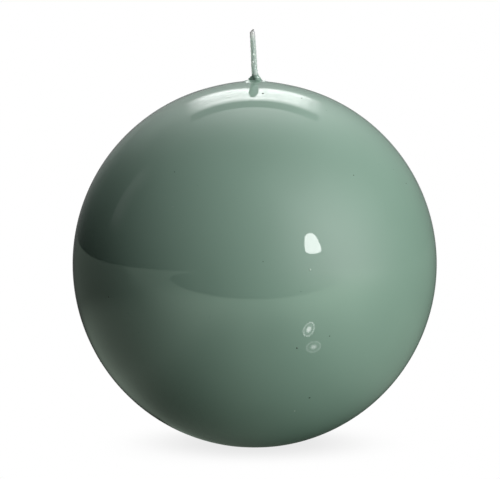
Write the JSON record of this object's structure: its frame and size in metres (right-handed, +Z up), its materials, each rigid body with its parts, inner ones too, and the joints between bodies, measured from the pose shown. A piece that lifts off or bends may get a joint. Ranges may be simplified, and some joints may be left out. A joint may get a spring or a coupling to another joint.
{
  "type": "ball candle",
  "caption": "Round ball candle with a high-gloss coloured coat, a braided wick standing proud of the crown, and a small flat base with a recessed metal wick tab.",
  "frame": {"origin": "middle of the flat base that the candle stands on, at the bottom centre of the bounding box", "axes": "+Z up along the wick, from the base to the crown; the wick's tip leans a little towards -X"},
  "size_m": [0.12, 0.12, 0.1369],
  "materials": {
    "lacquer": "sage green coloured wax under a clear high-gloss lacquer",
    "wax": "bare pressed white paraffin wax, slightly grainy",
    "wick_cotton": "braided cotton, soaked with coloured wax and lacquer, bare white cotton at the cut tip",
    "tab_tinplate": "pressed tin-plated steel"
  },
  "bodies": {
    "root": {"lacquer_coat": "lacquer", "wax_core": "wax", "wick": "wick_cotton", "wick_tab": "tab_tinplate"}
  },
  "joints": []
}
